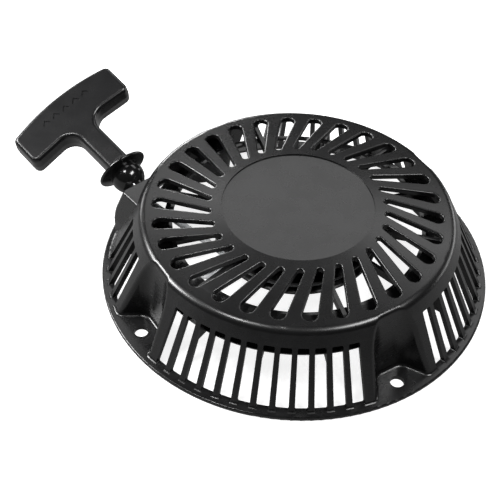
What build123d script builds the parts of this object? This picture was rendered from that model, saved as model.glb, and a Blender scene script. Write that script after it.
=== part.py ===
from build123d import *
from math import acos, atan2, cos, degrees, hypot, radians, sin, sqrt, tan
import os

# Recoil starter for a small vertical-shaft engine. Millimetres, +Z up.
# The origin is on the crank axis, in the plane of the mounting face. The
# engine is below Z = 0, and the rope leaves the housing towards -X.

# ---------------------------------------------------------------- housing sizes
flange_radius = 118.0
flange_thickness = 2.9
flange_width = 12.0
flange_round = 0.8
wall = 3.0
cut_margin = 6.0                  # how far cutting tools run past the surface they cut
cone_base_radius = 115.6          # outside of the skirt, carried down to Z = 0
cone_slope = 0.461                # radius lost per millimetre of height
plate_edge_height = 48.1          # where the top plate meets the skirt, before rounding
plate_rim_height = 53.6           # top plate, at the edge of the centre disc
disc_radius = 45.5
disc_recess = 0.7
shoulder_round = 5.5

slot_count = 30
slot_outer_radius = 86.5          # far end of each air slot
slot_inner_radius = 51.6          # near end
slot_outer_width = 8.5
slot_inner_width = 3.8
slot_outer_angle = 10.2
slot_inner_angle = 18.9
slot_round = 0.9

bolt_count = 4
bolt_circle_radius = 107.0
bolt_hole_radius = 4.1
pocket_back_radius = 97.5         # flat back of a bolt pocket, at Z = 0
pocket_back_half = 9.0
pocket_mouth_radius = 132.0
pocket_mouth_half = 29.0
pocket_corner = 8.0
pocket_draft = 5.5
pocket_wall = 2.3
pocket_edge_round = 3.0
pocket_foot_round = 2.0

vent_pitch = 5.52
vent_width_angle = 3.7
vent_top = 38.5
vent_corner = 0.8
vent_groups = ((239.64, 12), (329.64, 12), (59.64, 12), (193.75, 4))

post_radius = 6.0
post_bottom = 21.1
well_inner_radius = 38.0          # round wall that holds the recoil spring
well_outer_radius = 40.5
well_bottom = 38.6
spoke_count = 12
spoke_start_angle = 30.0
spoke_width = 2.4
spoke_bottom = 41.0
baffle_inner = (74.4, 40.0)       # radius and height of the air baffle's edges
baffle_outer = (92.0, 26.0)
baffle_thickness = 2.0
baffle_top = 42.0
web_bottom = 26.5
web_length = 8.0
web_spacing = 4                   # bars from one web to the next
well_slot_width = 1.8             # takes the spring's outer hook
well_slot_depth = 1.5
boss_radius = 9.5                 # thrust boss round the foot of the post
boss_bottom = 47.15

# ---------------------------------------------------------------- rope outlet
outlet_azimuth = 142.9            # centre line of the outlet, seen from above
outlet_top = 41.3
outlet_face_top = 84.9            # end face, measured along the outlet
outlet_knee = (90.4, 26.5)        # along and height
outlet_foot = (92.2, 14.0)
outlet_side_top = 67.4            # side wall, measured across the outlet
outlet_side_foot = (70.4, 16.0)
outlet_inner_side = 38.0
outlet_start = 50.0
outlet_block_width = 60.0
outlet_round = 2.5
outlet_corner_round = 1.0
seat_across = 53.3                # where the rope guide sits on the end face
seat_height = 32.2
rope_way_start = 52.0             # notch in the baffle for the rope
rope_way_end = 90.0
rope_way_width = 12.0
rope_way_top = 39.0
guide_neck_radius = 5.2
guide_neck_length = 5.4
guide_shoulder_radius = 6.6
guide_shoulder_height = 2.6
spot_margin = 0.5                 # flat spot round the shoulder
guide_bulb = (10.4, 10.6)         # radius and place of the widest part
guide_waist_radius = 9.8
guide_flange_radius = 16.2
guide_flange_place = 17.0         # middle of the guide's flange, from its seat
guide_flange_thickness = 2.0
guide_mouth_radius = 13.2
guide_throat_radius = 5.6
guide_throat_height = 8.0
guide_bore_radius = 3.4
clip_place = 3.0                  # behind the outlet's wall
clip_radius = 7.2
clip_thickness = 1.2

# ---------------------------------------------------------------- rope and reel
rope_radius = 2.25
rope_turns = 4.95
outer_wrap_radius = 45.2          # centre line of the outermost turn
wrap_pitch = 4.55
strand_start = 25.0               # free rope begins this far past the tangent point
knee_depth = 7.5                  # the rope bends this far behind the guide's seat
knee_round = 12.0
strand_end = 9.4
pulley_radius = 49.0
pulley_floor_radius = 19.6
pulley_bottom = 28.8
groove_bottom = 30.5
groove_top = 36.7
pulley_top = 38.3
groove_flare = 0.8
hub_radius = 11.5
hub_top = 46.5
bushing_radius = 8.0
running_gap = 0.05
rib_inner_radius = 42.6
rib_outer_radius = 47.6
rib_count = 24
rib_start_angle = 3.0
rib_width = 1.6
rib_height = 1.4
tail_angle = 221.6                # the rope's knotted inner end
tail_hole_radius = 22.7
tail_height = 26.0
tail_knot_radius = 55.6
tail_knot_height = 23.4
tail_knot_half_length = 6.2
tail_knot_half_height = 5.6
tail_end_radius = 67.0
tail_bend_radius = 3.0

keeper_bottom = 39.0
keeper_thickness = 0.8
keeper_bore_radius = 12.0
spring_bottom = 40.4
spring_height = 8.0
spring_thickness = 0.6
spring_inner_radius = 13.4
spring_outer_radius = 36.4
spring_turns = 9
hook_slot_width = 1.8
hook_slot_floor = 9.6
inner_hook_length = 3.2
outer_hook_length = 2.8

# ---------------------------------------------------------------- pawls and retainer
pawl_angles = (150.0, 330.0)      # where the pivots stand, seen from above
pawl_pivot_radius = 16.5
pawl_bottom = 23.4
pawl_top = 28.4
pawl_heel_radius = 5.5
pawl_tip_radius = 2.4
pawl_reach = 23.0
pawl_lean = -85.0                 # a closed pawl's direction, from its pivot's own
pawl_swing = 36.0
retainer_turn = 24.0              # how far the retainer lags when the pawls are out
pin_radius = 2.0
pin_seat = 6.0                    # depth of the pins in the pulley
pin_gap = 0.05
peg_reach = 11.0
peg_radius = 1.8
peg_bottom = 20.9
slot_gap = 0.35
retainer_bottom = 21.25
retainer_thickness = 1.6
retainer_radius = 31.0
brake_wire_radius = 0.6
brake_coil_radius = 8.4
brake_turns = 2.2
thrust_radius = 10.0
thrust_thickness = 1.2
screw_radius = 3.0
screw_length = 17.0
screw_flange_radius = 7.0
screw_flange_thickness = 1.2
screw_head_radius = 5.5
screw_head_height = 4.0
screw_head_chamfer = 0.5
insert_radius = 4.2
insert_length = 15.0
insert_hole_depth = 18.0
washer_outer_radius = 9.5
washer_bottom = 46.6
washer_thickness = 0.5

# ---------------------------------------------------------------- grip
pull_azimuth = 147.2              # the way the grip is pulled
pull_elevation = 12.7
grip_roll = 19.1                  # the bar turned about the pull direction
grip_reach = 48.4                 # guide flange to the middle of the bar
bar_half_length = 38.9
bar_neck_place = -9.6             # edges of the bar, measured along the pull
bar_inner_place = -11.8
bar_end_place = 11.6
bar_crown_place = 16.8
bar_corner = 4.5
grip_thickness = 16.2
grip_draft = 4.0
grip_edge_round = 2.6
stem_half_width = 7.5
stem_end = 47.2                   # end of the stem, from the middle of the bar
neck_round = 9.0
rope_bore_radius = 2.8
knot_pocket_radius = 6.4
knot_pocket_floor = 2.5
knot_washer_radius = 6.2
knot_washer_thickness = 1.5
grip_knot_radius = 5.2
grip_knot_place = 9.8
run_overlap = 6.5                 # the rope's outer part begins this far inside the guide
mark_count = 5                    # plain arrowheads pressed into the face
mark_place = 8.0
mark_pitch = 7.8
mark_half_width = 2.6
mark_rise = 2.8
mark_stroke = 1.6
mark_depth = 0.5


def cone_radius(height):
    return cone_base_radius - cone_slope * height


def heading(azimuth, elevation=0.0):
    """Unit vector at an angle from +X, seen from above, and an angle above level."""
    level = cos(radians(elevation))
    return Vector(
        level * cos(radians(azimuth)),
        level * sin(radians(azimuth)),
        sin(radians(elevation)),
    )


def at_angle(radius, angle, height=0.0):
    return Vector(radius * cos(radians(angle)), radius * sin(radians(angle)), height)


def axis_distance(place):
    return hypot(place.X, place.Y)


plate_edge_radius = cone_radius(plate_edge_height)
plate_drop = (plate_rim_height - plate_edge_height) / (plate_edge_radius - disc_radius)
wall_run = wall * sqrt(1 + cone_slope**2)
ceiling = plate_rim_height - disc_recess - wall

along = heading(outlet_azimuth)
up = Vector(0, 0, 1)
across = up.cross(along)          # away from the crank axis, on the rope's side
face_run = (outlet_knee[0] - outlet_face_top) / (outlet_top - outlet_knee[1])
seat_along = outlet_face_top + (outlet_top - seat_height) * face_run
guide_elevation = degrees(atan2(face_run, 1))
guide_axis = Plane(
    origin=along * seat_along + across * seat_across + up * seat_height,
    x_dir=across,
    z_dir=heading(outlet_azimuth, guide_elevation),
)


# ================================================================ housing
with BuildPart() as bell_outside:
    with BuildSketch(Plane.XZ) as bell_profile:
        with BuildLine():
            Polyline(
                (0, 0),
                (cone_base_radius, 0),
                (plate_edge_radius, plate_edge_height),
                (disc_radius, plate_rim_height),
                (disc_radius, plate_rim_height - disc_recess),
                (0, plate_rim_height - disc_recess),
                close=True,
            )
        make_face()
        shoulder = bell_profile.vertices().sort_by_distance((plate_edge_radius, plate_edge_height))
        fillet(shoulder[0], shoulder_round)
    revolve(axis=Axis.Z)

with BuildPart() as bell_inside:
    inner_edge_height = plate_edge_height - wall
    inner_edge_radius = cone_radius(inner_edge_height) - wall_run
    inner_base_radius = cone_radius(-1) - wall_run
    inner_rim_height = inner_edge_height + plate_drop * (inner_edge_radius - disc_radius)
    with BuildSketch(Plane.XZ):
        with BuildLine():
            Polyline(
                (0, -1),
                (inner_base_radius, -1),
                (inner_edge_radius, inner_edge_height),
                (disc_radius, inner_rim_height),
                (disc_radius, ceiling),
                (0, ceiling),
                close=True,
            )
        make_face()
    revolve(axis=Axis.Z)


def pocket_set(grow, bottom):
    """The four bolt pockets as solids, drafted so that they widen upwards."""
    spread = grow + bottom * tan(radians(pocket_draft))
    with BuildPart() as one_pocket:
        with BuildSketch(Plane.XY.offset(bottom)) as plan:
            with BuildLine():
                Polyline(
                    (pocket_back_radius - spread, -pocket_back_half - spread),
                    (pocket_mouth_radius, -pocket_mouth_half - spread),
                    (pocket_mouth_radius, pocket_mouth_half + spread),
                    (pocket_back_radius - spread, pocket_back_half + spread),
                    close=True,
                )
            make_face()
            fillet(plan.vertices().sort_by(Axis.X)[:2], pocket_corner + grow)
        extrude(amount=plate_rim_height + cut_margin - bottom, taper=-pocket_draft)
    with BuildPart() as pockets:
        with PolarLocations(0, bolt_count, start_angle=45):
            add(one_pocket.part)
    return pockets.part


def is_outlet_corner(edge):
    """An upright edge between the outlet's end face and its side wall."""
    middle = edge @ 0.5
    at_side = middle.dot(across) > outlet_side_top - 3
    at_end = middle.dot(along) > outlet_face_top - 1
    return at_side and at_end and edge.bounding_box().size.Z > 1


def is_outlet_crest(edge):
    """An edge round the outlet's top facet."""
    middle = edge @ 0.5
    at_side = middle.dot(across) > outlet_side_top - 3
    at_end = middle.dot(along) > outlet_face_top - 3
    return (at_side or at_end) and middle.Z > outlet_top - 0.5


def outlet_block(inset, bottom):
    """The rope outlet's box, or with an inset, the hollow inside it."""
    face_plane = Plane(
        origin=across * outlet_inner_side,
        x_dir=along,
        z_dir=across * -1,
    )
    section_plane = Plane(
        origin=along * outlet_start,
        x_dir=across,
        z_dir=along,
    )
    reach = outlet_foot[0] - outlet_start + cut_margin
    with BuildPart() as block:
        with BuildSketch(face_plane):
            with BuildLine():
                Polyline(
                    (outlet_start, bottom),
                    (outlet_start, outlet_top - inset),
                    (outlet_face_top + inset * (face_run - 1), outlet_top - inset),
                    (outlet_knee[0] - inset, outlet_knee[1]),
                )
                Spline(
                    (outlet_knee[0] - inset, outlet_knee[1]),
                    (outlet_foot[0] - inset, outlet_foot[1]),
                    tangents=[
                        (outlet_knee[0] - outlet_face_top, outlet_knee[1] - outlet_top),
                        (0, -1),
                    ],
                )
                Polyline(
                    (outlet_foot[0] - inset, outlet_foot[1]),
                    (outlet_foot[0] - inset, bottom),
                    (outlet_start, bottom),
                )
            make_face()
        extrude(amount=-outlet_block_width)
        with BuildSketch(section_plane):
            with BuildLine():
                Polyline(
                    (outlet_inner_side, bottom),
                    (outlet_side_foot[0] - inset, bottom),
                    (outlet_side_foot[0] - inset, outlet_side_foot[1]),
                    (outlet_side_top - inset, outlet_top - inset),
                    (outlet_inner_side, outlet_top - inset),
                    close=True,
                )
            make_face()
        extrude(amount=reach, mode=Mode.INTERSECT)
        if inset == 0:
            fillet(block.edges().filter_by(is_outlet_corner), outlet_round)
            fillet(block.edges().filter_by(is_outlet_crest), outlet_corner_round)
    return block.part


def is_pocket_rim(edge):
    """An edge where a bolt pocket breaks through the outside of the bell."""
    if edge.geom_type in (GeomType.LINE, GeomType.CIRCLE):
        return False
    middle = Vertex(*(edge @ 0.5))
    return any(face.distance_to(middle) < 0.01 for face in bell_outside.faces())


def is_pocket_foot(edge):
    """An edge where a bolt pocket's wall meets the flange. The skirt's own arcs are far longer."""
    middle = edge @ 0.5
    on_flange = abs(middle.Z - flange_thickness) < 0.01 and edge.bounding_box().size.Z < 0.01
    return on_flange and edge.length < cone_base_radius / 2 and axis_distance(middle) < flange_radius - 1


with BuildPart() as bell:
    add(bell_outside.part)
    add(pocket_set(0, flange_thickness), mode=Mode.SUBTRACT)
    fillet(bell.edges().filter_by(is_pocket_rim), pocket_edge_round)
    with BuildSketch():
        Circle(flange_radius)
        Circle(flange_radius - flange_width, mode=Mode.SUBTRACT)
    extrude(amount=flange_thickness)
    fillet(bell.edges().filter_by(is_pocket_foot), pocket_foot_round)
    rings = bell.edges().filter_by(GeomType.CIRCLE)
    fillet(rings.filter_by(lambda edge: edge.radius > flange_radius - 0.1), flange_round)

with BuildPart() as hollow:
    add(bell_inside.part)
    add(pocket_set(pocket_wall, -1), mode=Mode.SUBTRACT)
    add(outlet_block(wall, -1))


def vent_window(angle):
    """A tool that cuts one vent: its sides point at the crank axis."""
    lean = tan(radians(vent_width_angle / 2))
    low_half = cone_radius(flange_thickness) * lean
    high_half = cone_radius(vent_top) * lean
    outward = heading(angle)
    window_plane = Plane(origin=outward * flange_radius, x_dir=up.cross(outward), z_dir=outward)
    with BuildPart() as window:
        with BuildSketch(window_plane) as opening:
            with BuildLine():
                Polyline(
                    (-low_half, flange_thickness),
                    (low_half, flange_thickness),
                    (high_half, vent_top),
                    (-high_half, vent_top),
                    close=True,
                )
            make_face()
            fillet(opening.vertices(), vent_corner)
        extrude(amount=cone_radius(vent_top) - wall_run - flange_radius - 1)
    return window.part


with BuildPart() as vents:
    for first_angle, vent_count in vent_groups:
        for index in range(vent_count):
            add(vent_window(first_angle + index * vent_pitch))

with BuildPart() as slots:
    with BuildSketch(Plane.XY.offset(ceiling - cut_margin)):
        with PolarLocations(0, slot_count):
            with BuildSketch(mode=Mode.PRIVATE) as one_slot:
                with Locations(at_angle(slot_outer_radius - slot_outer_width / 2, slot_outer_angle)):
                    Circle(slot_outer_width / 2)
                with Locations(at_angle(slot_inner_radius + slot_inner_width / 2, slot_inner_angle)):
                    Circle(slot_inner_width / 2)
                make_hull()
            add(one_slot.sketch)
    extrude(amount=2 * cut_margin + wall)

with BuildPart() as inner_frame:
    # The round wall that holds the spring.
    with BuildSketch(Plane.XY.offset(well_bottom)):
        Circle(well_outer_radius)
        Circle(well_inner_radius, mode=Mode.SUBTRACT)
    extrude(amount=ceiling + 1 - well_bottom)
    # Spokes under the top plate, from the well to the skirt.
    spoke_end = cone_radius(spoke_bottom) - wall_run + 0.5
    spoke_start = well_outer_radius - 0.5
    with BuildSketch(Plane.XY.offset(spoke_bottom)):
        with PolarLocations((spoke_start + spoke_end) / 2, spoke_count, start_angle=spoke_start_angle):
            Rectangle(spoke_end - spoke_start, spoke_width)
    extrude(amount=plate_edge_height - 2 - spoke_bottom)
    # Sloping air baffle under the spokes.
    with BuildSketch(Plane.XZ):
        with BuildLine():
            Polyline(
                baffle_inner,
                (baffle_inner[0], baffle_top),
                (baffle_inner[0] + baffle_thickness, baffle_top),
                (baffle_outer[0] + baffle_thickness / 2, baffle_outer[1] + baffle_thickness),
                baffle_outer,
                close=True,
            )
        make_face()
    revolve(axis=Axis.Z)
    # Webs that tie the baffle's outer edge to the skirt, each behind a bar between two vents.
    web_start = baffle_outer[0] - web_length
    web_end = cone_radius(web_bottom) - wall_run + 0.3
    with BuildSketch(Plane.XY.offset(web_bottom)):
        for step in (-web_spacing, 0, web_spacing):
            with PolarLocations((web_start + web_end) / 2, 4, start_angle=step * vent_pitch):
                Rectangle(web_end - web_start, spoke_width)
    extrude(amount=spoke_bottom + 1 - web_bottom)
    # Way through the baffle for the rope.
    with BuildSketch(Plane(origin=up * (web_bottom - 1), x_dir=along, z_dir=up)):
        with Locations(((rope_way_start + rope_way_end) / 2, seat_across - 3)):
            Rectangle(rope_way_end - rope_way_start, rope_way_width)
    extrude(amount=rope_way_top - web_bottom + 1, mode=Mode.SUBTRACT)
    # Slot for the spring's outer hook.
    with BuildSketch(Plane.XY.offset(well_bottom)):
        with Locations((well_inner_radius, 0)):
            Rectangle(2 * well_slot_depth, well_slot_width)
    extrude(amount=ceiling - 1 - well_bottom, mode=Mode.SUBTRACT)
    add(bell_inside.part, mode=Mode.INTERSECT)

with BuildPart() as post:
    with BuildSketch(Plane.XY.offset(post_bottom)):
        Circle(post_radius)
    extrude(amount=ceiling + 1 - post_bottom)
    with BuildSketch(Plane.XY.offset(boss_bottom)):
        Circle(boss_radius)
    extrude(amount=ceiling + 1 - boss_bottom)


def plate_height(radius):
    return plate_edge_height + plate_drop * (plate_edge_radius - radius)


def is_slot_rim(edge):
    """An edge where an air slot meets the top of the plate."""
    middle = edge @ 0.5
    radius = axis_distance(middle)
    if not slot_inner_radius - 1 < radius < slot_outer_radius + 1:
        return False
    return edge.geom_type != GeomType.LINE and abs(middle.Z - plate_height(radius)) < 0.05


with BuildPart() as housing:
    add(bell.part)
    add(outlet_block(0, 0))
    add(hollow.part, mode=Mode.SUBTRACT)
    add(slots.part, mode=Mode.SUBTRACT)
    fillet(housing.edges().filter_by(is_slot_rim), slot_round)
    add(vents.part, mode=Mode.SUBTRACT)
    add(inner_frame.part)
    add(post.part)
    # Blind hole for the threaded insert.
    with Locations((0, 0, post_bottom)):
        Cylinder(insert_radius, 2 * insert_hole_depth, mode=Mode.SUBTRACT)
    with PolarLocations(bolt_circle_radius, bolt_count, start_angle=45):
        Cylinder(bolt_hole_radius, 4 * flange_thickness, mode=Mode.SUBTRACT)
    # Hole for the rope guide's neck, and a flat spot for its shoulder.
    with BuildSketch(guide_axis.offset(-2 * wall)):
        Circle(guide_neck_radius + running_gap)
    extrude(amount=4 * wall, mode=Mode.SUBTRACT)
    with BuildSketch(guide_axis):
        Circle(guide_shoulder_radius + spot_margin)
    extrude(amount=2 * wall, mode=Mode.SUBTRACT)

with BuildPart() as post_insert:
    with BuildSketch(Plane.XY.offset(post_bottom)):
        Circle(insert_radius)
        Circle(screw_radius + running_gap, mode=Mode.SUBTRACT)
    extrude(amount=insert_length)

# ================================================================ rope guide
with BuildPart() as rope_guide:
    # The profile's plane: radius across the axis, and place along it.
    with BuildSketch(Plane(origin=guide_axis.origin, x_dir=across, z_dir=guide_axis.y_dir * -1)):
        brim_low = guide_flange_place - guide_flange_thickness / 2
        brim_high = guide_flange_place + guide_flange_thickness / 2
        with BuildLine():
            Polyline(
                (guide_bore_radius + 0.8, -guide_neck_length),
                (guide_neck_radius, -guide_neck_length),
                (guide_neck_radius, 0),
                (guide_shoulder_radius, 0),
                (guide_shoulder_radius, guide_shoulder_height),
            )
            ThreePointArc(
                (guide_shoulder_radius, guide_shoulder_height),
                guide_bulb,
                (guide_waist_radius, brim_low - 1.2),
            )
            Line((guide_waist_radius, brim_low - 1.2), (guide_flange_radius - 1, brim_low))
            ThreePointArc(
                (guide_flange_radius - 1, brim_low),
                (guide_flange_radius, guide_flange_place),
                (guide_flange_radius - 1, brim_high),
            )
            Line((guide_flange_radius - 1, brim_high), (guide_mouth_radius, brim_high))
            Spline(
                (guide_mouth_radius, brim_high),
                (guide_throat_radius, guide_throat_height),
                (guide_bore_radius, -2),
                tangents=[(-1, -0.4), (0, -1)],
            )
            Line((guide_bore_radius, -2), (guide_bore_radius + 0.8, -guide_neck_length))
        make_face()
    revolve(axis=Axis(guide_axis.origin, guide_axis.z_dir))

with BuildPart() as guide_clip:
    with BuildSketch(guide_axis.offset(-clip_place)):
        Circle(clip_radius)
        Circle(guide_neck_radius, mode=Mode.SUBTRACT)
        with PolarLocations(clip_radius, 3):
            Rectangle(2.0, 1.6, mode=Mode.SUBTRACT)
    extrude(amount=-clip_thickness)

# ================================================================ reel
with BuildPart() as pulley:
    with BuildSketch(Plane.XZ):
        with BuildLine():
            Polyline(
                (bushing_radius, pulley_bottom),
                (pulley_radius, pulley_bottom),
                (pulley_radius, groove_bottom - groove_flare / 2),
                (pulley_radius - groove_flare, groove_bottom),
                (pulley_floor_radius, groove_bottom),
                (pulley_floor_radius, groove_top),
                (pulley_radius - groove_flare, groove_top),
                (pulley_radius, groove_top + groove_flare / 2),
                (pulley_radius, pulley_top),
                (hub_radius, pulley_top),
                (hub_radius, hub_top),
                (bushing_radius, hub_top),
                close=True,
            )
        make_face()
    revolve(axis=Axis.Z)
    # Stiffening ribs under the lower flange, outside the reach of the pawls.
    rib_middle = (rib_inner_radius + rib_outer_radius) / 2
    with BuildSketch(Plane.XY.offset(pulley_bottom)):
        with PolarLocations(rib_middle, rib_count, start_angle=rib_start_angle):
            Rectangle(rib_outer_radius - rib_inner_radius, rib_width)
    extrude(amount=-rib_height)
    # Blind holes that the pawl pins are pressed into.
    for pivot_angle in pawl_angles:
        with Locations(at_angle(pawl_pivot_radius, pivot_angle, pulley_bottom)):
            Cylinder(pin_radius, 2 * pin_seat, mode=Mode.SUBTRACT)
    # Hole that the rope's inner end comes down through.
    with Locations(at_angle(tail_hole_radius, tail_angle, pulley_bottom)):
        Cylinder(rope_radius + 0.4, 2 * (groove_bottom - pulley_bottom + 1), mode=Mode.SUBTRACT)
    # Slot in the hub for the spring's inner hook.
    with BuildSketch(Plane.XY.offset(spring_bottom - 0.3)):
        with Locations(((hook_slot_floor + hub_radius) / 2 + 1, 0)):
            Rectangle(hub_radius - hook_slot_floor + 2, hook_slot_width)
    extrude(amount=hub_top, mode=Mode.SUBTRACT)

with BuildPart() as pulley_bushing:
    with BuildSketch(Plane.XY.offset(pulley_bottom)):
        Circle(bushing_radius)
        Circle(post_radius + running_gap, mode=Mode.SUBTRACT)
    extrude(amount=hub_top - pulley_bottom)


def spiral_places(inner, outer, turns, end_angle, height=0.0):
    """Places on a flat spiral that winds clockwise from its inner to its outer end."""
    step_count = round(12 * turns)
    places = []
    for step in range(step_count + 1):
        share = step / step_count
        radius = inner + (outer - inner) * share
        places.append(at_angle(radius, end_angle + 360 * turns * (1 - share), height))
    return places


with BuildPart() as recoil_spring:
    with BuildSketch(Plane.XY.offset(spring_bottom)):
        with BuildLine():
            near_side = Spline(*spiral_places(spring_inner_radius, spring_outer_radius, spring_turns, 0))
            far_side = Spline(
                *spiral_places(
                    spring_inner_radius + spring_thickness,
                    spring_outer_radius + spring_thickness,
                    spring_turns,
                    0,
                )
            )
            Line(near_side @ 0, far_side @ 0)
            Line(near_side @ 1, far_side @ 1)
        make_face()
        # Inner hook, towards the hub, and outer hook, in the well's wall.
        inner_hook_middle = spring_inner_radius + spring_thickness - inner_hook_length / 2
        with Locations((inner_hook_middle, -spring_thickness / 2)):
            Rectangle(inner_hook_length, spring_thickness)
        with Locations((spring_outer_radius + outer_hook_length / 2, spring_thickness / 2)):
            Rectangle(outer_hook_length, spring_thickness)
    extrude(amount=spring_height)

with BuildPart() as spring_keeper:
    with BuildSketch(Plane.XY.offset(keeper_bottom)):
        Circle(well_inner_radius - running_gap)
        Circle(keeper_bore_radius, mode=Mode.SUBTRACT)
        with PolarLocations((keeper_bore_radius + well_inner_radius) / 2, 6):
            Circle(3.5, mode=Mode.SUBTRACT)
    extrude(amount=keeper_thickness)

# ================================================================ rope
groove_middle = (groove_bottom + groove_top) / 2
knee = guide_axis.from_local_coords(Vector(0, 0, -knee_depth))
knee_reach = axis_distance(knee)
knee_angle = outlet_azimuth + degrees(atan2(knee.dot(across), knee.dot(along)))
tangent_angle = knee_angle + degrees(acos(outer_wrap_radius / knee_reach))
tangent_place = at_angle(outer_wrap_radius, tangent_angle, groove_middle)
strand_heading = (knee - tangent_place).normalized()

with BuildPart() as rope_coil:
    inner_wrap_radius = outer_wrap_radius - wrap_pitch * rope_turns
    with BuildLine() as coil_path:
        wraps = spiral_places(
            inner_wrap_radius, outer_wrap_radius, rope_turns, tangent_angle, groove_middle
        )
        Spline(*wraps)
    with BuildSketch(Plane(origin=coil_path.line @ 0, z_dir=coil_path.line % 0)):
        Circle(rope_radius)
    sweep(path=coil_path.line)

with BuildPart() as rope_inner_run:
    strand_first = tangent_place + strand_heading * strand_start
    strand_last = guide_axis.from_local_coords(Vector(0, 0, strand_end))
    with BuildLine() as strand_path:
        FilletPolyline(strand_first, knee, strand_last, radius=knee_round)
    with BuildSketch(Plane(origin=strand_first, z_dir=strand_heading)):
        Circle(rope_radius)
    sweep(path=strand_path.line)

with BuildPart() as rope_tail:
    tail_side = heading(tail_angle - 90)
    knot_middle = at_angle(tail_knot_radius, tail_angle, tail_knot_height)
    with BuildLine(Plane(origin=(0, 0, 0), x_dir=heading(tail_angle), z_dir=tail_side)) as tail_path:
        FilletPolyline(
            (tail_hole_radius, groove_bottom + 0.4),
            (tail_hole_radius, tail_height),
            (tail_knot_radius - 2 * tail_knot_half_length, tail_height),
            (tail_knot_radius, tail_knot_height),
            radius=tail_bend_radius,
        )
    with BuildSketch(Plane(origin=tail_path.line @ 0, z_dir=tail_path.line % 0)):
        Circle(rope_radius)
    sweep(path=tail_path.line)
    # The knot as a plain egg, and the short end beyond it.
    with BuildSketch(Plane(origin=knot_middle, x_dir=heading(tail_angle), z_dir=tail_side)):
        with BuildLine():
            EllipticalCenterArc((0, 0), tail_knot_half_length, tail_knot_half_height, 0, arc_size=180)
            Line((-tail_knot_half_length, 0), (tail_knot_half_length, 0))
        make_face()
    revolve(axis=Axis(knot_middle, heading(tail_angle)))
    with BuildSketch(Plane(origin=knot_middle, z_dir=heading(tail_angle))):
        Circle(rope_radius)
    extrude(amount=tail_end_radius - tail_knot_radius)

flange_centre = guide_axis.from_local_coords(Vector(0, 0, guide_flange_place))
pull = heading(pull_azimuth, pull_elevation)
level = up.cross(pull).normalized()
grip_side = level * -cos(radians(grip_roll)) + pull.cross(level) * sin(radians(grip_roll))
grip_middle = flange_centre + pull * grip_reach
grip_plane = Plane(origin=grip_middle, x_dir=grip_side, z_dir=grip_side.cross(pull))


def across_pull(place):
    """Plane square to the rope, a distance past the middle of the grip's bar."""
    return Plane(origin=grip_middle + pull * place, x_dir=grip_side, z_dir=pull)


with BuildPart() as rope_outer_run:
    run_start = -grip_reach - run_overlap
    with BuildSketch(across_pull(run_start)):
        Circle(rope_radius)
    extrude(amount=grip_knot_place - grip_knot_radius - run_start)

with BuildPart() as grip_knot:
    with BuildSketch(grip_plane):
        with BuildLine():
            CenterArc((0, grip_knot_place), grip_knot_radius, -90, 180)
            Line((0, grip_knot_place - grip_knot_radius), (0, grip_knot_place + grip_knot_radius))
        make_face()
    revolve(axis=Axis(grip_middle, pull))

# ================================================================ grip
def is_neck(corner):
    """A corner between the grip's stem and its bar, in the outline's own plane."""
    return abs(abs(corner.X) - stem_half_width) < 1 and abs(corner.Y - bar_neck_place) < 1


def is_bar_corner(corner):
    return abs(corner.X) > bar_half_length - 1


with BuildPart() as grip:
    with BuildSketch(grip_plane) as outline:
        with BuildLine():
            Polyline(
                (-bar_half_length, bar_end_place),
                (-bar_half_length, bar_inner_place),
                (-stem_half_width, bar_neck_place),
                (-stem_half_width, -stem_end),
                (stem_half_width, -stem_end),
                (stem_half_width, bar_neck_place),
                (bar_half_length, bar_inner_place),
                (bar_half_length, bar_end_place),
            )
            ThreePointArc(
                (bar_half_length, bar_end_place),
                (0, bar_crown_place),
                (-bar_half_length, bar_end_place),
            )
        make_face()
        fillet(outline.vertices().filter_by(is_neck), neck_round)
        fillet(outline.vertices().filter_by(is_bar_corner), bar_corner)
    extrude(amount=grip_thickness / 2, both=True, taper=grip_draft)
    faces = grip.faces().sort_by(Axis(grip_middle, grip_plane.z_dir))
    fillet(faces[0].edges() + faces[-1].edges(), grip_edge_round)
    with BuildSketch(across_pull(-stem_end - 1)):
        Circle(rope_bore_radius)
    extrude(amount=stem_end + knot_pocket_floor + 2, mode=Mode.SUBTRACT)
    with BuildSketch(across_pull(knot_pocket_floor)):
        Circle(knot_pocket_radius)
    extrude(amount=bar_crown_place - knot_pocket_floor + 1, mode=Mode.SUBTRACT)
    # Row of plain arrowheads, pressed into the upper face.
    with BuildSketch(grip_plane.offset(grip_thickness / 2)):
        with Locations((0, mark_place)):
            with GridLocations(mark_pitch, 1, mark_count, 1):
                Polygon(
                    (-mark_half_width, -mark_rise),
                    (0, 0),
                    (mark_half_width, -mark_rise),
                    (mark_half_width, -mark_rise - mark_stroke),
                    (0, -mark_stroke),
                    (-mark_half_width, -mark_rise - mark_stroke),
                )
    extrude(amount=-mark_depth, mode=Mode.SUBTRACT)

with BuildPart() as grip_washer:
    with BuildSketch(across_pull(knot_pocket_floor)):
        Circle(knot_washer_radius)
        Circle(rope_radius + 0.2, mode=Mode.SUBTRACT)
    extrude(amount=knot_washer_thickness)


# ================================================================ pawls
def closed_pawl_heading(pivot_angle):
    return pivot_angle + pawl_lean


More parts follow.
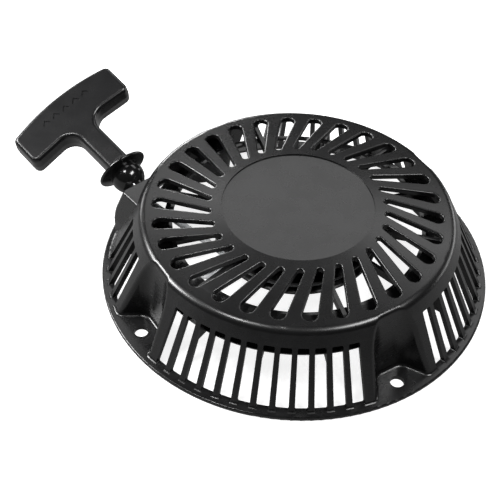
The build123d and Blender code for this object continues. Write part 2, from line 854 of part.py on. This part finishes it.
def build_pawl(pivot_angle):
    """A closed pawl: a flat tooth with a peg that runs in the retainer's slot."""
    pivot = at_angle(pawl_pivot_radius, pivot_angle)
    lean = closed_pawl_heading(pivot_angle)
    with BuildPart() as pawl:
        with BuildSketch(Plane.XY.offset(pawl_bottom)):
            with Locations(pivot):
                Circle(pawl_heel_radius)
            with Locations(pivot + at_angle(pawl_reach, lean)):
                Circle(pawl_tip_radius)
            make_hull()
        extrude(amount=pawl_top - pawl_bottom)
        with BuildSketch(Plane.XY.offset(pawl_bottom - 1)):
            with Locations(pivot):
                Circle(pin_radius + pin_gap)
        extrude(amount=pawl_top - pawl_bottom + 2, mode=Mode.SUBTRACT)
        with BuildSketch(Plane.XY.offset(peg_bottom)):
            with Locations(pivot + at_angle(peg_reach, lean)):
                Circle(peg_radius)
        extrude(amount=pawl_bottom + 1 - peg_bottom)
    return pawl


def build_pin(pivot_angle):
    with BuildPart() as pin:
        with BuildSketch(Plane.XY.offset(pawl_bottom)):
            with Locations(at_angle(pawl_pivot_radius, pivot_angle)):
                Circle(pin_radius)
        extrude(amount=pulley_bottom + pin_seat - pawl_bottom)
    return pin


pawl_a = build_pawl(pawl_angles[0])
pawl_b = build_pawl(pawl_angles[1])
pawl_pin_a = build_pin(pawl_angles[0])
pawl_pin_b = build_pin(pawl_angles[1])


def peg_place(pivot_angle, share):
    """Where a pawl's peg stands in the retainer, from closed (0) to open (1)."""
    peg = at_angle(pawl_pivot_radius, pivot_angle)
    peg += at_angle(peg_reach, closed_pawl_heading(pivot_angle) + pawl_swing * share)
    return peg.rotate(Axis.Z, -retainer_turn * share)


with BuildPart() as pawl_retainer:
    with BuildSketch(Plane.XY.offset(retainer_bottom)) as retainer_plan:
        Circle(retainer_radius)
        Circle(post_radius + 0.1, mode=Mode.SUBTRACT)
        for pivot_angle in pawl_angles:
            with BuildSketch(mode=Mode.PRIVATE) as peg_slot:
                for share in (0, 0.5, 1):
                    with Locations(peg_place(pivot_angle, share)):
                        Circle(peg_radius + slot_gap)
                make_hull()
            add(peg_slot.sketch, mode=Mode.SUBTRACT)
    extrude(amount=retainer_thickness)

with BuildPart() as brake_spring:
    wire_start = retainer_bottom + retainer_thickness + brake_wire_radius + running_gap
    wire_rise = pulley_bottom - running_gap - brake_wire_radius - wire_start
    with BuildLine(Plane.XY.offset(wire_start)) as wire:
        Helix(pitch=wire_rise / brake_turns, height=wire_rise, radius=brake_coil_radius)
    with BuildSketch(Plane(origin=wire.line @ 0, z_dir=wire.line % 0)):
        Circle(brake_wire_radius)
    sweep(path=wire.line, is_frenet=True)

# ================================================================ centre fixings
with BuildPart() as thrust_washer:
    with BuildSketch(Plane.XY.offset(post_bottom)):
        Circle(thrust_radius)
        Circle(screw_radius + 0.2, mode=Mode.SUBTRACT)
    extrude(amount=-thrust_thickness)

with BuildPart() as pulley_washer:
    with BuildSketch(Plane.XY.offset(washer_bottom)):
        Circle(washer_outer_radius)
        Circle(post_radius + running_gap, mode=Mode.SUBTRACT)
    extrude(amount=washer_thickness)

with BuildPart() as centre_screw:
    flange_bottom = post_bottom - thrust_thickness - screw_flange_thickness
    with BuildSketch(Plane.XY.offset(flange_bottom)):
        Circle(screw_flange_radius)
    extrude(amount=screw_flange_thickness)
    with BuildSketch(Plane.XY.offset(flange_bottom)):
        RegularPolygon(screw_head_radius, 6)
    extrude(amount=-(screw_head_height - screw_flange_thickness))
    chamfer(centre_screw.faces().sort_by(Axis.Z)[0].edges(), screw_head_chamfer)
    with BuildSketch(Plane.XY.offset(post_bottom - thrust_thickness)):
        Circle(screw_radius)
    extrude(amount=screw_length)

# ================================================================ export
nodes = {
    "housing": housing,
    "post_insert": post_insert,
    "rope_guide": rope_guide,
    "guide_clip": guide_clip,
    "pulley": pulley,
    "pulley_bushing": pulley_bushing,
    "pulley_washer": pulley_washer,
    "spring_keeper": spring_keeper,
    "recoil_spring": recoil_spring,
    "rope_coil": rope_coil,
    "rope_tail": rope_tail,
    "rope_inner_run": rope_inner_run,
    "rope_outer_run": rope_outer_run,
    "grip_knot": grip_knot,
    "grip_washer": grip_washer,
    "grip": grip,
    "pawl_a": pawl_a,
    "pawl_b": pawl_b,
    "pawl_pin_a": pawl_pin_a,
    "pawl_pin_b": pawl_pin_b,
    "pawl_retainer": pawl_retainer,
    "brake_spring": brake_spring,
    "thrust_washer": thrust_washer,
    "centre_screw": centre_screw,
}
os.makedirs("parts", exist_ok=True)
for name, piece in nodes.items():
    piece.part.label = name
    export_step(piece.part, f"parts/{name}.step")
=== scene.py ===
from math import acos, atan2, cos, floor, hypot, pi, radians, sin

import bpy
from mathutils import Matrix, Vector


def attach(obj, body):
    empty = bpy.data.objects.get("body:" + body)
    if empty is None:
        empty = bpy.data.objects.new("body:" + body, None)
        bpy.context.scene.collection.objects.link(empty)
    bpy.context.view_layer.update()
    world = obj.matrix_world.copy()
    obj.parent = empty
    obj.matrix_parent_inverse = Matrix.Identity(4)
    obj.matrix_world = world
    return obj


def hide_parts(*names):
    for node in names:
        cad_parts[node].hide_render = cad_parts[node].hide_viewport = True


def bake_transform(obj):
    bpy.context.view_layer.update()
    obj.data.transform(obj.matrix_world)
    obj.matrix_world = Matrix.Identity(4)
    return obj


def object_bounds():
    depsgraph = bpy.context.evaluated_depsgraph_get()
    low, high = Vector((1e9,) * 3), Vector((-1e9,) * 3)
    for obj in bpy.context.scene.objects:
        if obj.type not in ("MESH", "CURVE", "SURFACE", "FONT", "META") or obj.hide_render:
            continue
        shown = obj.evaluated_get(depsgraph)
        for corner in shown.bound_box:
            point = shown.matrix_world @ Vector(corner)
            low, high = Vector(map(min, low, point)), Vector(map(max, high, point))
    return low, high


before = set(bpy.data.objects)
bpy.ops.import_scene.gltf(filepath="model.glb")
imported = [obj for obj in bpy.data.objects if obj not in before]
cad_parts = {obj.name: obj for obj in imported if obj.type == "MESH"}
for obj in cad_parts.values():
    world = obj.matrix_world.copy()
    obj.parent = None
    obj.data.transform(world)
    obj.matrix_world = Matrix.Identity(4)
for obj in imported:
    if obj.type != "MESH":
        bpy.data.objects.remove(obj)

cad_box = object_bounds()
MM = 0.001

# ---------------------------------------------------------------- sizes
# The origin is on the crank axis, in the plane of the mounting face, with +Z up.
ROPE_RADIUS = 2.25 * MM
BRAID_STRANDS = 6                 # strands that wind each way round the rope
BRAID_PITCH = 16 * MM             # length of one full turn of a strand
BRAID_RELIEF = 0.16               # height of a strand, as a share of the radius
BRAID_SADDLE = 0.55               # a strand's height between crossings, as a share of its top
CUT_END = 0.4 * ROPE_RADIUS       # how far a cut end bulges

KNOT_SPAN = 2.02                  # the knot's curve runs this far each way from its middle
KNOT_STEPS = 22

GROOVE_HEIGHT = 33.6 * MM         # middle of the pulley's groove
OUTER_WRAP = 45.2 * MM
WRAP_PITCH = 4.55 * MM
WRAP_TURNS = 4.95
WRAP_STEPS = 36                   # places per turn of the coil

# The rope's inner end leaves the pulley at this angle; radius and height of places along it, in mm.
TAIL_ANGLE = radians(221.6)
TAIL_LEAD = ((22.7, 30.9), (22.7, 28.4), (24.3, 26.4), (28.7, 26.0), (45.5, 26.0))
TAIL_KNOT = (59.5, 22.6)
TAIL_END = (70.0, 20.8)
TAIL_KNOT_SIZE = 2.6 * MM

OUTLET_AZIMUTH = radians(142.9)
GUIDE_ELEVATION = radians(20.39)
GUIDE_SEAT = (88.28 * MM, 53.3 * MM, 32.2 * MM)   # along and across the outlet, and height
GUIDE_FLANGE = 17 * MM            # guide's flange from its seat
KNEE_DEPTH = 7.5 * MM             # the rope bends this far behind the guide's seat
KNEE_LEAD = 6 * MM                # length over which it bends, each way
KNEE_CUT = 0.5 * MM               # how far it cuts the corner
STRAND_START = 2 * MM             # first places of the straight strand past the coil
STRAND_MIDDLE = 30 * MM
STRAND_END = 9.4 * MM             # its end, past the guide's seat

PULL_AZIMUTH = radians(147.2)
PULL_ELEVATION = radians(12.7)
GRIP_ROLL = radians(19.1)
GRIP_REACH = 48.4 * MM            # guide's flange to the middle of the bar
RUN_OVERLAP = 6.5 * MM            # the grip's run of rope begins this far inside the guide's flange
GRIP_KNOT = 9.8 * MM              # knot past the middle of the bar
GRIP_KNOT_RADIUS = 5.2 * MM
GRIP_KNOT_SIZE = 1.75 * MM
GRIP_KNOT_SHIFT = 1 * MM          # the drawn knot sits this much further along the pull
GRIP_KNOT_LEAD = -2.2 * MM        # rope into the knot, from the middle of the bar
GRIP_KNOT_END = 5.5 * MM          # rope out of the knot, from its centre
GRIP_KNOT_END_RISE = 2 * MM

FLOOR_SIZE = 12
FLOOR_GAP = 0.3 * MM
FLOOR_GLOW = 0.85                 # lifts the floor to near white, for the camera only
FLOOR_BOUNCE = 0.16               # and what the object itself sees of it
WORLD_GLOW = 0.015
# Azimuth from -Y towards +X and elevation in degrees, distance, width and height in metres, and watts.
SOFTBOXES = {
    "back_light": (178, 46, 1.5, 1.6, 0.4, 4.9),
    "left_light": (-88, 38, 1.2, 0.6, 0.3, 22),
    "high_left_light": (-46, 67, 1.3, 0.16, 0.22, 6),
    "right_light": (75, 60, 1.2, 0.5, 0.25, 10),
    "left_sweep": (-140, 10, 0.9, 0.7, 0.2, 5),
    "right_sweep": (130, 10, 0.9, 0.7, 0.2, 2),
}
LIGHTS_AIM = Vector((0, 0, 30)) * MM
KNOT_LIGHT_POWER = 36
KNOT_LIGHT_CONE = radians(3)
KNOT_LIGHT_EDGE = 0.8             # softness of the cone's edge
KNOT_LIGHT_RADIUS = 8 * MM
KNOT_LIGHT_RISE = 20 * MM         # above the camera

CAMERA_AIM = Vector((-23.8, -20.7, 30.0)) * MM
CAMERA_DISTANCE = 747.0 * MM
CAMERA_AZIMUTH = 11.67
CAMERA_ELEVATION = 45.38
CAMERA_ROLL = 2.07
CAMERA_LENS = 90.5
CAMERA_SENSOR = 36


# ================================================================ material helpers
class Shader:
    """A node material under construction: a Principled shader in object space, in metres."""

    def __init__(self, name, metallic=0.0, roughness=0.5):
        self.material = bpy.data.materials.new(name)
        self.material.use_nodes = True
        self.tree = self.material.node_tree
        self.surface = self.tree.nodes["Principled BSDF"]
        self.surface.inputs["Metallic"].default_value = metallic
        self.surface.inputs["Roughness"].default_value = roughness
        self.place = self.tree.nodes.new("ShaderNodeTexCoord").outputs["Object"]

    def node(self, kind, **values):
        """A new node with the given input values."""
        made = self.tree.nodes.new(kind)
        for key, value in values.items():
            made.inputs[key.replace("_", " ")].default_value = value
        return made

    def link(self, source, target):
        self.tree.links.new(source, target)

    def noise(self, scale, detail=3.0, stretch=(1, 1, 1)):
        """Noise with features about 1 / scale metres wide."""
        mapping = self.node("ShaderNodeMapping", Scale=stretch)
        self.link(self.place, mapping.inputs["Vector"])
        made = self.node("ShaderNodeTexNoise", Scale=scale, Detail=detail)
        self.link(mapping.outputs["Vector"], made.inputs["Vector"])
        return made.outputs["Fac"]

    def cells(self, scale):
        """Distance to the nearest point of a random scatter, for moulded grain."""
        made = self.node("ShaderNodeTexVoronoi", Scale=scale)
        self.link(self.place, made.inputs["Vector"])
        return made.outputs["Distance"]

    def remap(self, source, low, high, to_low, to_high):
        made = self.node(
            "ShaderNodeMapRange", From_Min=low, From_Max=high, To_Min=to_low, To_Max=to_high
        )
        self.link(source, made.inputs["Value"])
        return made.outputs["Result"]

    def blend(self, share, first, second):
        """Colour between two colours, or between sockets."""
        made = self.tree.nodes.new("ShaderNodeMix")
        made.data_type = "RGBA"
        self.link(share, made.inputs["Factor"])
        for socket, value in (("A", first), ("B", second)):
            target = [i for i in made.inputs if i.name == socket and i.type == "RGBA"][0]
            if isinstance(value, tuple):
                target.default_value = (*value, 1)
            else:
                self.link(value, target)
        return [o for o in made.outputs if o.type == "RGBA"][0]

    def maths(self, operation, first, second=None):
        made = self.tree.nodes.new("ShaderNodeMath")
        made.operation = operation
        for index, value in enumerate((first, second)):
            if isinstance(value, (int, float)):
                made.inputs[index].default_value = value
            elif value is not None:
                self.link(value, made.inputs[index])
        return made.outputs["Value"]

    def edges(self, low, high):
        """1 on outer edges and 0 elsewhere, from how the surface bends."""
        shape = self.tree.nodes.new("ShaderNodeNewGeometry")
        return self.remap(shape.outputs["Pointiness"], low, high, 0, 1)

    def colour(self, source):
        self.link(source, self.surface.inputs["Base Color"])

    def roughness(self, source):
        self.link(source, self.surface.inputs["Roughness"])

    def bump(self, height, distance, strength=1.0, below=None):
        """Adds relief, distance metres deep, on top of an earlier bump."""
        made = self.node("ShaderNodeBump", Strength=strength, Distance=distance)
        self.link(height, made.inputs["Height"])
        if below is not None:
            self.link(below, made.inputs["Normal"])
        self.link(made.outputs["Normal"], self.surface.inputs["Normal"])
        return made.outputs["Normal"]

    def relief_below(self, height, distance):
        """Adds relief underneath the bump that the surface has already."""
        made = self.node("ShaderNodeBump", Strength=1.0, Distance=distance)
        self.link(height, made.inputs["Height"])
        top_bump = self.surface.inputs["Normal"].links[0].from_node
        self.link(made.outputs["Normal"], top_bump.inputs["Normal"])


def moulded_plastic(name, dark, light, rough, grain, grain_depth, wear=0.35):
    """Injection-moulded plastic: fine grain, faint cloudiness, lighter rubbed edges."""
    shader = Shader(name)
    cloud = shader.noise(28, 4)
    speckle = shader.noise(2600, 2)
    tone = shader.blend(shader.remap(cloud, 0.3, 0.7, 0, 1), dark, light)
    tone = shader.blend(shader.remap(speckle, 0.62, 0.8, 0, 0.35), tone, tuple(4 * v for v in light))
    rubbed = shader.maths("MULTIPLY", shader.edges(0.52, 0.6), shader.noise(190, 5))
    tone = shader.blend(shader.maths("MULTIPLY", rubbed, wear), tone, tuple(5 * v for v in light))
    shader.colour(tone)
    smears = shader.remap(shader.noise(60, 5, (1, 1, 2.5)), 0.3, 0.7, rough - 0.015, rough + 0.02)
    shader.roughness(smears)
    flow = shader.bump(shader.noise(45, 2), 0.05 * MM, 0.15)
    shader.bump(shader.cells(grain), grain_depth, 0.5, flow)
    return shader.material


def metal(name, tint, rough, brush=(1, 1, 1), spots=0.25):
    """Plated or ground steel, with brushing along one way and dull spots."""
    shader = Shader(name, metallic=1.0)
    dull = shader.remap(shader.noise(220, 5), 0.45, 0.75, 0, spots)
    shader.colour(shader.blend(dull, tint, tuple(0.45 * v for v in tint)))
    lines = shader.noise(900, 3, brush)
    shader.roughness(shader.remap(lines, 0.3, 0.7, rough - 0.08, rough + 0.12))
    shader.bump(lines, 0.03 * MM, 0.5)
    return shader.material


def rope_fibre(name):
    """Light braided polyester, fibres along each strand, with painted shade in the hollows between
    strands: the shader and its colour's socket.
    """
    shader = Shader(name, roughness=0.75)
    fibre = shader.noise(2400, 2, (1, 1, 0.4))
    soil = shader.noise(90, 4)
    tone = shader.blend(shader.remap(fibre, 0.3, 0.7, 0, 1), (0.27, 0.28, 0.29), (0.46, 0.47, 0.48))
    tone = shader.blend(shader.remap(soil, 0.5, 0.75, 0, 0.3), tone, (0.30, 0.29, 0.27))
    # Painted shade: where the surface is hollow, between the braid's strands, the colour goes dark
    # grey.
    tone = shader.blend(shader.edges(0.5, 0.42), tone, (0.12, 0.12, 0.12))
    shader.colour(tone)
    shader.surface.inputs["Sheen Weight"].default_value = 0.35
    shader.bump(fibre, 0.12 * MM, 0.7)
    return shader, tone


def woven_rope(name, way, side, centre):
    """The same braid drawn by the shader, in object space, for a run of rope that stretches, with
    painted shade in the grooves between strands.
    """
    shader, tone = rope_fibre(name)

    def measure(axis):
        """Distance along an axis from the rope's centre line."""
        away = shader.tree.nodes.new("ShaderNodeVectorMath")
        away.operation = "SUBTRACT"
        shader.link(shader.place, away.inputs[0])
        away.inputs[1].default_value = centre
        along = shader.tree.nodes.new("ShaderNodeVectorMath")
        along.operation = "DOT_PRODUCT"
        shader.link(away.outputs["Vector"], along.inputs[0])
        along.inputs[1].default_value = axis
        return along.outputs["Value"]

    angle = shader.maths("ARCTAN2", measure(side), measure(way.cross(side)))
    turn = shader.maths("MULTIPLY", angle, BRAID_STRANDS / (2 * pi))
    rise = shader.maths("MULTIPLY", measure(way), BRAID_STRANDS / BRAID_PITCH)
    crowns = []
    for operation in ("ADD", "SUBTRACT"):
        phase = shader.maths("MULTIPLY", shader.maths(operation, turn, rise), pi)
        crowns.append(shader.maths("ABSOLUTE", shader.maths("SINE", phase)))
    strands = shader.maths("MULTIPLY", *crowns)
    shader.relief_below(strands, 0.5 * MM)
    # Painted shade: the colour goes near black in the grooves between the drawn strands.
    shader.colour(shader.blend(shader.remap(strands, 0.0, 0.25, 0, 1), (0.10, 0.10, 0.10), tone))
    return shader.material


# ================================================================ materials
housing_skin = moulded_plastic(
    "housing_plastic", (0.0036, 0.0036, 0.0037), (0.0052, 0.0052, 0.0054), 0.27, 1500, 0.010 * MM
)
guide_skin = moulded_plastic(
    "guide_plastic", (0.004, 0.004, 0.004), (0.006, 0.006, 0.006), 0.16, 1200, 0.004 * MM, 0.15
)
grip_skin = moulded_plastic(
    "grip_plastic", (0.0040, 0.0040, 0.0043), (0.0058, 0.0058, 0.0062), 0.26, 1300, 0.008 * MM
)
pulley_skin = moulded_plastic(
    "pulley_plastic", (0.008, 0.008, 0.008), (0.011, 0.011, 0.011), 0.42, 1500, 0.02 * MM
)
pawl_skin = metal("sintered_steel", (0.42, 0.42, 0.43), 0.36, (1, 1, 1), 0.5)
washer_skin = moulded_plastic(
    "washer_plastic", (0.60, 0.58, 0.50), (0.68, 0.66, 0.58), 0.42, 900, 0.02 * MM, 0.05
)
zinc = metal("zinc_plate", (0.62, 0.63, 0.64), 0.30, (1, 1, 6))
ground_steel = metal("ground_steel", (0.60, 0.60, 0.61), 0.22, (1, 1, 8))
spring_steel = metal("blue_spring_steel", (0.24, 0.27, 0.33), 0.28, (0.3, 0.3, 6))
screw_steel = metal("passivated_steel", (0.66, 0.60, 0.42), 0.30, (1, 1, 3))
brass = metal("turned_brass", (0.72, 0.54, 0.26), 0.26, (1, 1, 8))
bronze = metal("sintered_bronze", (0.48, 0.32, 0.17), 0.42, (1, 1, 1), 0.6)
rope_skin = rope_fibre("braided_rope")[0].material

NODE_SKINS = {
    "housing": housing_skin,
    "rope_guide": guide_skin,
    "grip": grip_skin,
    "pulley": pulley_skin,
    "pawl_a": pawl_skin,
    "pawl_b": pawl_skin,
    "pulley_washer": washer_skin,
    "guide_clip": zinc,
    "spring_keeper": zinc,
    "grip_washer": zinc,
    "pawl_retainer": zinc,
    "thrust_washer": zinc,
    "pawl_pin_a": ground_steel,
    "pawl_pin_b": ground_steel,
    "brake_spring": ground_steel,
    "recoil_spring": spring_steel,
    "centre_screw": screw_steel,
    "post_insert": brass,
    "pulley_bushing": bronze,
}


def paint(item, skin):
    item.data.materials.clear()
    item.data.materials.append(skin)


for node_name, skin in NODE_SKINS.items():
    paint(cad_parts[node_name], skin)


# ================================================================ rope
def catmull(points, spacing):
    """Even-spaced places along a smooth curve through the points."""
    padded = [points[0] * 2 - points[1], *points, points[-1] * 2 - points[-2]]
    dense = []
    for index in range(1, len(padded) - 2):
        before, start, end, after = padded[index - 1:index + 3]
        pieces = max(4, int((end - start).length / (spacing / 4)))
        for step in range(pieces):
            t = step / pieces
            dense.append(
                0.5 * (
                    2 * start
                    + (end - before) * t
                    + (2 * before - 5 * start + 4 * end - after) * t * t
                    + (3 * start - before - 3 * end + after) * t**3
                )
            )
    dense.append(points[-1])
    places = [dense[0]]
    for place in dense:
        if (place - places[-1]).length >= spacing:
            places.append(place)
    return places


def braid_height(angle, along):
    """Relief of a braided sheath, 0 to 1: two families of strands, over and under each other."""
    turn = BRAID_STRANDS * angle / (2 * pi)
    rise = BRAID_STRANDS * along / BRAID_PITCH
    right, left = turn + rise, turn - rise
    right_over = (floor(right) + floor(left)) % 2 == 0
    over, under = (right, left) if right_over else (left, right)
    crown = sin(pi * (over % 1.0))
    return crown ** 0.5 * (BRAID_SADDLE + (1 - BRAID_SADDLE) * sin(pi * (under % 1.0)))


def rope_piece(name, points, body, stands_for, around=36, spacing=0.4 * MM):
    """A braided rope along a curve, with closed and slightly domed ends."""
    places = catmull(points, spacing)
    tangents = []
    for index in range(len(places)):
        first = places[max(index - 1, 0)]
        last = places[min(index + 1, len(places) - 1)]
        tangents.append((last - first).normalized())
    side = tangents[0].orthogonal().normalized()
    rings = []
    verts = []
    run = 0.0
    for index, place in enumerate(places):
        if index:
            run += (place - places[index - 1]).length
            side = (side - tangents[index] * side.dot(tangents[index])).normalized()
        other = tangents[index].cross(side)
        ring = []
        for step in range(around):
            angle = 2 * pi * step / around
            radius = ROPE_RADIUS * (1 - BRAID_RELIEF * (1 - braid_height(angle, run)))
            ring.append(len(verts))
            verts.append(place + side * (radius * cos(angle)) + other * (radius * sin(angle)))
        rings.append(ring)
    faces = []
    for lower, upper in zip(rings, rings[1:]):
        for step in range(around):
            following = (step + 1) % around
            faces.append((lower[step], lower[following], upper[following], upper[step]))
    for ring, place, outward in ((rings[0], places[0], -1), (rings[-1], places[-1], 1)):
        tip = len(verts)
        tangent = tangents[0] if outward < 0 else tangents[-1]
        verts.append(place + tangent * (outward * CUT_END))
        for step in range(around):
            following = (step + 1) % around
            corner = (ring[step], ring[following], tip)
            faces.append(corner if outward > 0 else corner[::-1])
    return mesh_piece(name, verts, faces, body, stands_for)


def mesh_piece(name, verts, faces, body, stands_for):
    mesh = bpy.data.meshes.new(name)
    mesh.from_pydata([tuple(v) for v in verts], [], faces)
    mesh.validate()
    mesh.polygons.foreach_set("use_smooth", [True] * len(mesh.polygons))
    item = bpy.data.objects.new(name, mesh)
    bpy.context.collection.objects.link(item)
    paint(item, rope_skin)
    if body:
        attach(item, body)
    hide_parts(*stands_for)
    return item


def knot_points(centre, forward, upward, size):
    """An overhand knot, entered and left along the forward direction.

    The curve is the polynomial knot t^3 - 3t, t^4 - 4t^2, t^5 - 10t, scaled to a round knot.
    """
    sideways = forward.cross(upward)
    places = []
    for step in range(KNOT_STEPS + 1):
        t = KNOT_SPAN * (2 * step / KNOT_STEPS - 1)
        ahead = (t**3 - 3 * t) * 0.95
        across = (t**4 - 4 * t * t) * 0.42 + 0.9
        rise = (t**5 - 10 * t) * 0.125
        places.append(centre + (forward * ahead + sideways * across + upward * rise) * size)
    return places


up = Vector((0, 0, 1))


def level(angle, elevation=0.0):
    return Vector((cos(angle) * cos(elevation), sin(angle) * cos(elevation), sin(elevation)))


# Knotted inner end: out of the pulley's hole, along its underside, and the knot.
tail_way = level(TAIL_ANGLE)


def tail_place(radius, height):
    return tail_way * (radius * MM) + up * (height * MM)


knot_centre = tail_place(*TAIL_KNOT)
tail_places = [tail_place(*place) for place in TAIL_LEAD]
tail_places += knot_points(knot_centre, tail_way, up, TAIL_KNOT_SIZE)
tail_places.append(tail_place(*TAIL_END))
rope_piece("rope_tail_braid", tail_places, "pulley", ["rope_tail"])

# Guide, tangent point and grip places.
outlet_way = level(OUTLET_AZIMUTH)
guide_way = level(OUTLET_AZIMUTH, GUIDE_ELEVATION)
seat = outlet_way * GUIDE_SEAT[0] + up.cross(outlet_way) * GUIDE_SEAT[1] + up * GUIDE_SEAT[2]
knee = seat - guide_way * KNEE_DEPTH
knee_reach = hypot(knee.x, knee.y)
tangent_angle = atan2(knee.y, knee.x) + acos(OUTER_WRAP / knee_reach)
tangent_place = level(tangent_angle) * OUTER_WRAP + up * GROOVE_HEIGHT
pull = level(PULL_AZIMUTH, PULL_ELEVATION)
pull_level = up.cross(pull).normalized()
grip_side = pull_level * -cos(GRIP_ROLL) + pull.cross(pull_level) * sin(GRIP_ROLL)
grip_face = grip_side.cross(pull)
flange_centre = seat + guide_way * GUIDE_FLANGE
grip_middle = flange_centre + pull * GRIP_REACH

# Wound coil on the pulley.
coil_steps = round(WRAP_TURNS * WRAP_STEPS)
coil_places = []
for step in range(coil_steps + 1):
    turns_in = WRAP_TURNS * (1 - step / coil_steps)
    wrap_radius = OUTER_WRAP - WRAP_PITCH * turns_in
    coil_places.append(level(tangent_angle + 2 * pi * turns_in) * wrap_radius + up * GROOVE_HEIGHT)
rope_piece("rope_coil_braid", coil_places, "pulley", ["rope_coil"], around=20, spacing=0.8 * MM)

# Run from the coil's tangent point to the guide, bent over the guide's inner end.
strand_way = (knee - tangent_place).normalized()
inner_places = [
    tangent_place + strand_way * STRAND_START,
    tangent_place + strand_way * STRAND_MIDDLE,
    knee - strand_way * KNEE_LEAD,
    knee + (guide_way - strand_way) * KNEE_CUT,
    knee + guide_way * KNEE_LEAD,
    seat + guide_way * STRAND_END,
]
rope_piece("rope_inner_braid", inner_places, "housing", ["rope_inner_run"])

# Run between guide and grip: it stretches as the grip is pulled.
run_start = flange_centre - pull * RUN_OVERLAP
run_end = grip_middle + pull * (GRIP_KNOT - GRIP_KNOT_RADIUS)
outer_run = rope_piece(
    "rope_outer_braid", [run_start, run_end], None, ["rope_outer_run"], spacing=0.1 * MM
)
paint(outer_run, woven_rope("stretched_rope", pull, grip_side, flange_centre))
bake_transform(outer_run)

# Knot in the grip's pocket.
grip_knot_centre = grip_middle + pull * (GRIP_KNOT + GRIP_KNOT_SHIFT)
knot_places = [grip_middle + pull * GRIP_KNOT_LEAD]
knot_places += knot_points(grip_knot_centre, pull, grip_face, GRIP_KNOT_SIZE)
knot_places.append(grip_knot_centre + pull * GRIP_KNOT_END + grip_face * GRIP_KNOT_END_RISE)
rope_piece("grip_knot_braid", knot_places, "grip", ["grip_knot"])

# ================================================================ stage
bpy.ops.mesh.primitive_plane_add(size=FLOOR_SIZE, location=(0, 0, cad_box[0][2] - FLOOR_GAP))
floor_plane = bpy.context.object
floor_plane.name = "floor"
floor_look = Shader("pale_floor", roughness=0.8)
seen_by_camera = floor_look.tree.nodes.new("ShaderNodeLightPath").outputs["Is Camera Ray"]
pale = floor_look.blend(floor_look.noise(3), (0.50, 0.50, 0.50), (0.54, 0.54, 0.54))
floor_look.colour(floor_look.blend(seen_by_camera, (0.10, 0.10, 0.10), pale))
floor_look.surface.inputs["Emission Color"].default_value = (1, 1, 1, 1)
glow = floor_look.remap(seen_by_camera, 0, 1, FLOOR_BOUNCE, FLOOR_GLOW)
floor_look.link(glow, floor_look.surface.inputs["Emission Strength"])
# Seen from below, the floor is clear, so that the underside can be looked at.
from_below = floor_look.tree.nodes.new("ShaderNodeNewGeometry").outputs["Backfacing"]
clear = floor_look.tree.nodes.new("ShaderNodeBsdfTransparent").outputs["BSDF"]
floor_mix = floor_look.tree.nodes.new("ShaderNodeMixShader")
floor_look.link(from_below, floor_mix.inputs["Fac"])
floor_look.link(floor_look.surface.outputs["BSDF"], floor_mix.inputs[1])
floor_look.link(clear, floor_mix.inputs[2])
floor_look.link(floor_mix.outputs["Shader"], floor_look.tree.nodes["Material Output"].inputs["Surface"])
paint(floor_plane, floor_look.material)


def lamp_at(name, lamp_data, place, aim):
    """A lamp in the scene, facing the place it lights."""
    lamp = bpy.data.objects.new(name, lamp_data)
    lamp.location = place
    lamp.rotation_euler = (place - aim).to_track_quat("Z", "Y").to_euler()
    bpy.context.collection.objects.link(lamp)


def softbox(name, azimuth, elevation, distance, width, height, power):
    """A rectangular studio light, at an angle from -Y towards +X, facing the object."""
    lamp_data = bpy.data.lights.new(name, "AREA")
    lamp_data.shape = "RECTANGLE"
    lamp_data.size = width
    lamp_data.size_y = height
    lamp_data.energy = power
    place = level(radians(azimuth) - pi / 2, radians(elevation)) * distance
    lamp_at(name, lamp_data, place, LIGHTS_AIM)


for lamp_name, settings in SOFTBOXES.items():
    softbox(lamp_name, *settings)


def camera_only(tree, seen, hidden):
    """A shader that looks one way to the camera and another to the object."""
    path = tree.nodes.new("ShaderNodeLightPath")
    mix = tree.nodes.new("ShaderNodeMixShader")
    tree.links.new(path.outputs["Is Camera Ray"], mix.inputs["Fac"])
    tree.links.new(hidden, mix.inputs[1])
    tree.links.new(seen, mix.inputs[2])
    return mix.outputs["Shader"]


world = bpy.data.worlds.new("studio")
world.use_nodes = True
bpy.context.scene.world = world
dim_world = world.node_tree.nodes["Background"]
dim_world.inputs["Strength"].default_value = WORLD_GLOW
white_world = world.node_tree.nodes.new("ShaderNodeBackground")
for background in (dim_world, white_world):
    background.inputs["Color"].default_value = (1, 1, 1, 1)
world_end = world.node_tree.nodes["World Output"]
world.node_tree.links.new(
    camera_only(world.node_tree, white_world.outputs[0], dim_world.outputs[0]),
    world_end.inputs["Surface"],
)

bpy.context.scene.view_settings.view_transform = "Standard"

camera_data = bpy.data.cameras.new("camera")
camera_data.sensor_width = CAMERA_SENSOR
camera_data.lens = CAMERA_LENS
camera = bpy.data.objects.new("camera", camera_data)
bpy.context.collection.objects.link(camera)
turn = (
    Matrix.Rotation(radians(CAMERA_AZIMUTH), 4, "Z")
    @ Matrix.Rotation(radians(90 - CAMERA_ELEVATION), 4, "X")
    @ Matrix.Rotation(radians(CAMERA_ROLL), 4, "Z")
)
backward = turn.to_3x3() @ Vector((0, 0, 1))
camera.matrix_world = Matrix.Translation(CAMERA_AIM + backward * CAMERA_DISTANCE) @ turn
bpy.context.scene.camera = camera

# A narrow light above the camera picks the knotted rope end out of the shade under the plate.
knot_lamp_data = bpy.data.lights.new("knot_light", "SPOT")
knot_lamp_data.energy = KNOT_LIGHT_POWER
knot_lamp_data.spot_size = KNOT_LIGHT_CONE
knot_lamp_data.spot_blend = KNOT_LIGHT_EDGE
knot_lamp_data.shadow_soft_size = KNOT_LIGHT_RADIUS
lamp_at("knot_light", knot_lamp_data, camera.location + up * KNOT_LIGHT_RISE, knot_centre)
